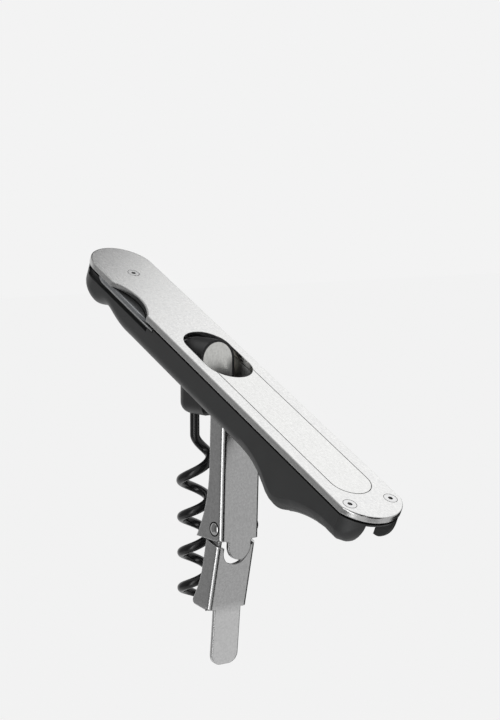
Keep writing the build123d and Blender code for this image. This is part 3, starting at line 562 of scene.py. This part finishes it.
# The point is ground down over the last 5 mm, rounder than a cone.
tip_share = node(
    winding, "ShaderNodeMapRange",
    {"Value": rod_height, "From Min": 0, "From Max": given["Tip Rise"], "To Min": 1, "To Max": 0},
)
tip_ground = node(winding, "ShaderNodeMath", {0: tip_share.outputs[0], 1: 1.4}, operation="POWER")
wire_radius = node(
    winding, "ShaderNodeMath", {0: given["Wire Diameter"], 1: 0.5}, operation="MULTIPLY"
)
girth = node(
    winding, "ShaderNodeMapRange",
    {"Value": tip_ground.outputs[0], "To Min": wire_radius.outputs[0],
     "To Max": given["Tip Radius"]},
)
wire_round = node(winding, "GeometryNodeCurvePrimitiveCircle", {"Resolution": 24, "Radius": 1})
wire = node(
    winding, "GeometryNodeCurveToMesh",
    {"Curve": wound.outputs[0], "Profile Curve": wire_round.outputs[0], "Scale": girth.outputs[0],
     "Fill Caps": True},
)
wire_smooth = node(winding, "GeometryNodeSetShadeSmooth", {0: wire.outputs[0]})
wire_plain = node(winding, "GeometryNodeRealizeInstances", {0: wire_smooth.outputs[0]})
wire_coated = node(
    winding, "GeometryNodeSetMaterial",
    {"Geometry": wire_plain.outputs[0], "Material": given["Finish"]},
)
node(winding, "NodeGroupOutput", {"Geometry": wire_coated.outputs[0]})
worm = made_by(winding, "wound_worm", bpy.data.meshes.new("worm_blank"), worm_sizes, worm_coat)
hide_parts("worm")
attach(worm, "hub")


# Lever: two lengths of 1 mm stainless sheet, punched, folded to channels and tumbled, which leaves
# a satin skin and softened edges. The rivets at the step are spun over to polished domes.
upper_steel = brushed_steel(
    "satin_upper_sheet", "#9C9C9C", "#AEAEAE", lay=radians(2.2), grain_mm=0.2, streak=(1, 1, 7),
    rough_low=0.17, rough_high=0.25, relief_share=0.2, edge_mm=0.5,
)
dress(["upper_arm"], upper_steel)
lower_steel = brushed_steel(
    "satin_lower_sheet", "#9A9A9A", "#AEAEAE", lay=radians(13.2), grain_mm=0.2, streak=(1, 9, 1),
    rough_low=0.18, rough_high=0.27, relief_share=0.25, edge_mm=0.5,
)


def shader_of(material):
    return next(part for part in material.node_tree.nodes if part.type == "BSDF_PRINCIPLED")


# The lower tongue's tone is made brighter than the rest, from 20 mm below the step.
lower_tree, lower_surface = lower_steel.node_tree, shader_of(lower_steel)
lower_tone = lower_surface.inputs["Base Color"].links[0].from_socket
brightening_starts, brightening_full = 4.5, 1.5
lower_place = node(lower_tree, "ShaderNodeTexCoord")
lower_height = node(lower_tree, "ShaderNodeSeparateXYZ", {0: lower_place.outputs["Object"]})
tongue_brightened = node(
    lower_tree, "ShaderNodeMapRange",
    {"Value": lower_height.outputs["Z"], "From Min": brightening_full * MM,
     "From Max": brightening_starts * MM, "To Min": 1, "To Max": 0},
)
tongue_brightened_tone = node(
    lower_tree, "ShaderNodeMix",
    {"Factor": tongue_brightened.outputs[0], 6: lower_tone, 7: hex_colour("#707070")}, data_type="RGBA",
    blend_type="ADD",
)
lower_tree.links.new(tongue_brightened_tone.outputs[2], lower_surface.inputs["Base Color"])
dress(["lower_arm"], lower_steel)


# Foil blade: hardened strip steel with a ground back and a hollow ground edge, folded under the
# plate. Its flat carries a dark crescent of painted shade under the plate's scoop, and its back is
# ridged for the thumb.
blade_steel = brushed_steel(
    "ground_blade_steel", "#7E8082", "#8E9092", lay=handle_tilt, grain_mm=0.2, streak=(1, 6, 1),
    rough_low=0.28, rough_high=0.38, relief_share=0.3, edge_mm=0.15,
)
# The point of the plate's top above the hub pin, which places on the handle are counted from.
handle_origin_x, handle_origin_z = 7.545, 70.161
blade_tree, blade_surface = blade_steel.node_tree, shader_of(blade_steel)
blade_ground = blade_surface.inputs["Base Color"].links[0].from_socket
blade_place = node(blade_tree, "ShaderNodeTexCoord")
blade_flat = node(
    blade_tree, "ShaderNodeMapping",
    {"Vector": blade_place.outputs["Object"],
     "Location": (handle_origin_x * MM, 0, handle_origin_z * MM),
     "Rotation": (0, handle_tilt, 0)}, vector_type="TEXTURE",
)
blade_from_plate = node(blade_tree, "ShaderNodeSeparateXYZ", {0: blade_flat.outputs[0]})
# The painted shade is a dark crescent on the flat, along the plate's scoop and 0.4 mm or more
# clear of the ground back. These are the flat's depth, the back's edge and the scoop's arc, in the
# handle.
flat_depth, ground_back = -1.7, -8.9
scoop_middle_x, scoop_middle_y, scoop_radius = -27.1, -21.8, 15.7
shade_depth = node(
    blade_tree, "ShaderNodeMapRange",
    {"Value": blade_from_plate.outputs["Z"],
     "From Min": (flat_depth - 0.06) * MM, "From Max": (flat_depth - 0.02) * MM},
)
shade_back = node(
    blade_tree, "ShaderNodeMapRange",
    {"Value": blade_from_plate.outputs["Y"],
     "From Min": (ground_back + 0.4) * MM, "From Max": (ground_back + 0.55) * MM},
)
shade_place = node(
    blade_tree, "ShaderNodeCombineXYZ",
    {"X": blade_from_plate.outputs["X"], "Y": blade_from_plate.outputs["Y"]},
)
shade_reach = node(
    blade_tree, "ShaderNodeVectorMath",
    {0: shade_place.outputs[0], 1: (scoop_middle_x * MM, scoop_middle_y * MM, 0)},
    operation="DISTANCE",
)
shade_arc = node(
    blade_tree, "ShaderNodeMapRange",
    {"Value": shade_reach.outputs["Value"], "From Min": scoop_radius * MM,
     "From Max": (scoop_radius + 0.3) * MM, "To Min": 1, "To Max": 0},
)
shade_band = node(
    blade_tree, "ShaderNodeMath",
    {0: shade_depth.outputs[0], 1: shade_back.outputs[0]}, operation="MULTIPLY",
)
painted_scoop_shade = node(
    blade_tree, "ShaderNodeMath",
    {0: shade_band.outputs[0], 1: shade_arc.outputs[0]}, operation="MULTIPLY",
)
# The crescent's dark tone is painted shade, mixed into the blade's steel.
blade_tone = node(
    blade_tree, "ShaderNodeMix",
    {"Factor": painted_scoop_shade.outputs[0], 6: blade_ground, 7: hex_colour("#3C3D3E")}, data_type="RGBA",
)
blade_tree.links.new(blade_tone.outputs[2], blade_surface.inputs["Base Color"])
dress(["foil_blade"], blade_steel)


# Ridged back: 23 fine half round ridges rolled across the blade's ground back every 0.6 mm, for
# the thumb that opens it. They are part of the blade, so they have its steel.
ridge_sizes = {
    "First Place": -36.0 * MM, "Spacing": 0.6 * MM, "Count": 23, "Ridge Length": 3.2 * MM,
    "Ridge Radius": 0.17 * MM, "Across": -7.36 * MM, "Depth": -1.785 * MM,
    "Tilt": handle_tilt, "Origin X": handle_origin_x * MM, "Origin Z": handle_origin_z * MM,
}
ridging, given = making_tree("ridged_back", ridge_sizes)
first = node(
    ridging, "ShaderNodeCombineXYZ",
    {"X": given["First Place"], "Y": given["Across"], "Z": given["Depth"]},
)
step = node(ridging, "ShaderNodeCombineXYZ", {"X": given["Spacing"]})
places = node(
    ridging, "GeometryNodeMeshLine",
    {"Count": given["Count"], "Start Location": first.outputs[0], "Offset": step.outputs[0]},
)
ridge = node(
    ridging, "GeometryNodeMeshCylinder",
    {"Vertices": 10, "Radius": given["Ridge Radius"], "Depth": given["Ridge Length"]},
)
ridges = node(
    ridging, "GeometryNodeInstanceOnPoints",
    {"Points": places.outputs[0], "Instance": ridge.outputs[0], "Rotation": (pi / 2, 0, 0)},
)
ridge_turn = node(ridging, "ShaderNodeCombineXYZ", {"Y": given["Tilt"]})
ridge_origin = node(
    ridging, "ShaderNodeCombineXYZ", {"X": given["Origin X"], "Z": given["Origin Z"]}
)
ridges_placed = node(
    ridging, "GeometryNodeTransform",
    {"Geometry": ridges.outputs[0], "Translation": ridge_origin.outputs[0],
     "Rotation": ridge_turn.outputs[0]},
)
ridges_plain = node(ridging, "GeometryNodeRealizeInstances", {0: ridges_placed.outputs[0]})
ridges_steel = node(
    ridging, "GeometryNodeSetMaterial",
    {"Geometry": ridges_plain.outputs[0], "Material": given["Finish"]},
)
node(ridging, "NodeGroupOutput", {"Geometry": ridges_steel.outputs[0]})
blade_ridges = made_by(
    ridging, "blade_ridges", bpy.data.meshes.new("ridge_blank"), ridge_sizes, blade_steel
)
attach(blade_ridges, "blade")


# Top plate: stamped from 1.6 mm stainless sheet and brushed along its length, which spreads the
# light in a broad soft sheen. An inlay of thinner sheet is set flush in it behind a fine seam.
plate_steel = brushed_steel(
    "brushed_stainless_plate", "#A9A9A9", "#BCBCBB", lay=handle_tilt, grain_mm=0.3,
    streak=(9, 1, 1), rough_low=0.2, rough_high=0.28, relief_share=0.4, edge_mm=0.3,
)
dress(["top_plate"], plate_steel)
inlay_steel = brushed_steel(
    "brushed_stainless_inlay", "#ADADAC", "#BDBDBC", lay=handle_tilt, grain_mm=0.3,
    streak=(9, 1, 1), rough_low=0.22, rough_high=0.3, relief_share=0.4, edge_mm=0.1,
)
dress(["plate_inlay"], inlay_steel)


# Plate screws: stainless countersunk screws with a broached socket, driven home and then ground
# flush with the plate, so that their heads take the plate's tone but not its grain.
screw_steel = turned_metal(
    "machined_screw_steel", "#A8A8A8", "#B8B8B8", rough_low=0.22, rough_high=0.32
)
dress(["end_screws", "blade_screw"], screw_steel)


# Seams: the dark hairlines where the plate sits on the body, the inlay in the plate, and each screw
# head in its countersink. They are painted shade: near-black strips set in the narrow gaps where
# shadow falls, drawn 0.1 mm wide and more so that they show.
def arc(middle, radius, start, end, parts):
    turns = [radians(start + (end - start) * part / parts) for part in range(parts + 1)]
    return [(middle + radius * cos(turn), radius * sin(turn)) for turn in turns]


def seam_path(name, runs):
    points, edges = [], []
    for run in runs:
        edges += [(len(points) + i, len(points) + i + 1) for i in range(len(run) - 1)]
        points += [Vector((*place, 0)[:3]) * MM for place in run]
    mesh = bpy.data.meshes.new(name)
    mesh.from_pydata(points, edges, [])
    return mesh


seam_sizes = ["Width", "Height", "Depth", "Tilt", "Origin X", "Origin Z"]
seaming, given = making_tree("strip_along_path", seam_sizes)
seam_curve = node(seaming, "GeometryNodeMeshToCurve", {"Mesh": given["Geometry"]})
seam_upright = node(
    seaming, "GeometryNodeSetCurveNormal", {"Curve": seam_curve.outputs[0]}, mode="Z_UP"
)
seam_section = node(
    seaming, "GeometryNodeCurvePrimitiveQuadrilateral",
    {"Width": given["Width"], "Height": given["Height"]},
)
seam_strip = node(
    seaming, "GeometryNodeCurveToMesh",
    {"Curve": seam_upright.outputs[0], "Profile Curve": seam_section.outputs[0], "Fill Caps": True},
)
seam_drop = node(seaming, "ShaderNodeCombineXYZ", {"Z": given["Depth"]})
seam_low = node(
    seaming, "GeometryNodeTransform",
    {"Geometry": seam_strip.outputs[0], "Translation": seam_drop.outputs[0]},
)
seam_turn = node(seaming, "ShaderNodeCombineXYZ", {"Y": given["Tilt"]})
seam_origin = node(
    seaming, "ShaderNodeCombineXYZ", {"X": given["Origin X"], "Z": given["Origin Z"]}
)
seam_placed = node(
    seaming, "GeometryNodeTransform",
    {"Geometry": seam_low.outputs[0], "Translation": seam_origin.outputs[0],
     "Rotation": seam_turn.outputs[0]},
)
seam_plain = node(seaming, "GeometryNodeRealizeInstances", {0: seam_placed.outputs[0]})
seam_finished = node(
    seaming, "GeometryNodeSetMaterial",
    {"Geometry": seam_plain.outputs[0], "Material": given["Finish"]},
)
node(seaming, "NodeGroupOutput", {"Geometry": seam_finished.outputs[0]})
# The seams' near-black is painted shade, dull and with almost no sheen.
painted_gap_shade = moulded_nylon(
    "painted_gap_shade_black", "#050505", "#0A0A0A", rough_low=0.8, rough_high=0.9, edge_mm=0.05
)
shader_of(painted_gap_shade).inputs["Specular IOR Level"].default_value = 0.05


def seam(name, runs, width, height, depth, body="handle", tilt=handle_tilt,
         origin=(handle_origin_x, handle_origin_z), finish=painted_gap_shade):
    sizes = {"Width": width * MM, "Height": height * MM, "Depth": depth * MM, "Tilt": tilt,
             "Origin X": origin[0] * MM, "Origin Z": origin[1] * MM}
    piece = made_by(seaming, name, seam_path(name + "_path", runs), sizes, finish)
    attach(piece, body)


# Places are in millimetres from the point above the hub pin, x along the handle and y across it.
plate_side, pocket_end, nose_middle = 9.0, -13.9, -45.7
end_corner, end_arc_middle, end_arc_radius, end_arc_turn = 70.92, 67.3, 9.7, 68.1
bed_run = [(pocket_end, -plate_side), (end_corner, -plate_side)]
bed_run += arc(end_arc_middle, end_arc_radius, -end_arc_turn, end_arc_turn, 24)
bed_run += [(end_corner, plate_side)] + arc(nose_middle, plate_side, 90, 245, 32)
seam("bed_seam", [bed_run], width=0.12, height=0.66, depth=-1.94)
scoop_arc = [
    (x + scoop_middle_x, y + scoop_middle_y) for x, y in arc(0, scoop_radius, 125.5, 54.5, 24)
]
scoop_run = [(-46.5, -8.94), (-36.2, -plate_side), *scoop_arc]
scoop_run += [(-18.0, -plate_side), (pocket_end, -plate_side)]
seam("blade_seam", [scoop_run], width=0.12, height=0.14, depth=-1.62)
# The blade folds onto a strip of sheet, laid round the near side of its pocket.
blade_pivot, strip_side = -40.3, 8.65
rest_run = arc(blade_pivot, strip_side, 225, 270, 12) + [(-14.5, -strip_side)]
seam(
    "blade_rest_strip", [rest_run], width=0.5, height=0.36, depth=-2.96,
    finish=mill_steel,
)
inlay_start, inlay_end, inlay_side, flush = 11.7, 61.7, 5.55, -0.04
inlay_run = [(inlay_start, -inlay_side), *arc(inlay_end, inlay_side, -90, 90, 28)]
inlay_run += [(inlay_start, inlay_side)]
seam("inlay_seam", [inlay_run], width=0.14, height=0.1, depth=flush)
end_screw_x, end_screw_y = 70.4, 6.2
heads = ((end_screw_x, end_screw_y, 1.7), (end_screw_x, -end_screw_y, 1.7), (blade_pivot, 0, 1.6))
head_runs = [
    [(middle_x + x, middle_y + y) for x, y in arc(0, head_radius, 0, 360, 28)]
    for middle_x, middle_y, head_radius in heads
]
seam("head_seams", head_runs, width=0.11, height=0.1, depth=flush)
# A rivet's head stands a hair off the sheet that it is spun over, and the shadow in that gap is
# painted as a dark ring. These places are counted from the step's pivot, and the rings lie on the
# arm's two sides.
step_pivot, arm_side, ring_radius = (17.33, 24.92), 6.28, 1.8
rivet_runs = [
    [(x, side * arm_side, z) for x, z in arc(0, ring_radius, 0, 360, 28)] for side in (-1, 1)
]
seam(
    "rivet_seams", rivet_runs, width=0.2, height=0.2, depth=0,
    body="upper_lever", tilt=0, origin=step_pivot,
)
